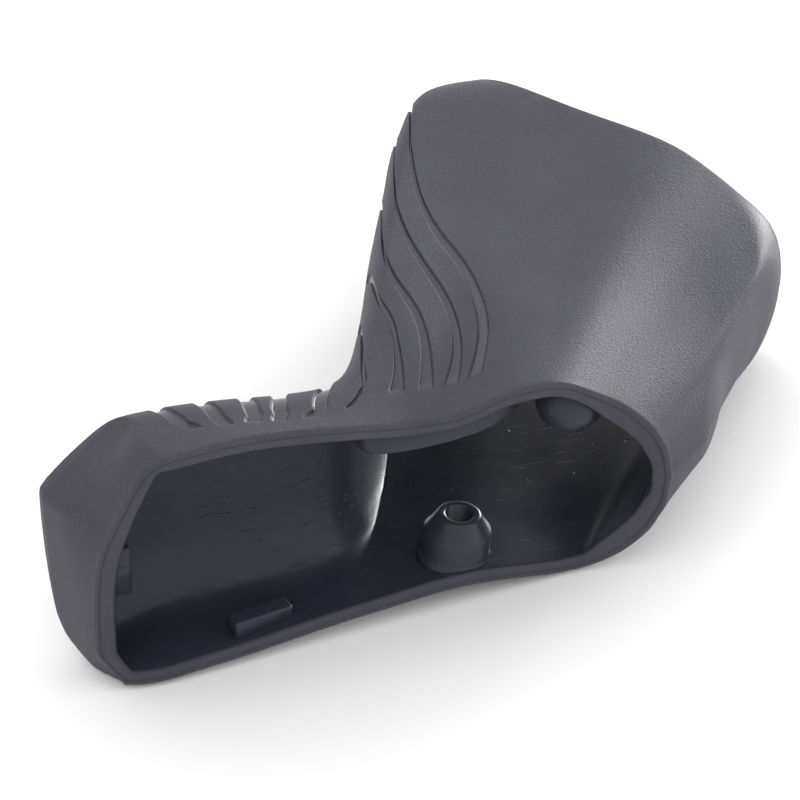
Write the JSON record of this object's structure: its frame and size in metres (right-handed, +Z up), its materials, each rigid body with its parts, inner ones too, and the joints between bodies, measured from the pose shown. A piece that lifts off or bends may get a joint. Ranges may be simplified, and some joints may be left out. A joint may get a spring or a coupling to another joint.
{
  "type": "brake lever hood",
  "caption": "Moulded rubber boot for a drop-bar brake lever: bar mouth with fixing bosses, grooved palm, tall hollow horn open at the front for the lever blade.",
  "frame": {"origin": "middle of the bounding box's base, on the table that the lower flank lies on", "axes": "+X from the toe of the bar mouth to its heel, +Y from the bar mouth up into the horn, +Z up from the lower flank to the upper flank"},
  "size_m": [0.11, 0.0846, 0.0357],
  "materials": {
    "rubber": "matte"
  },
  "bodies": {
    "root": {"hood": "rubber"}
  },
  "joints": []
}
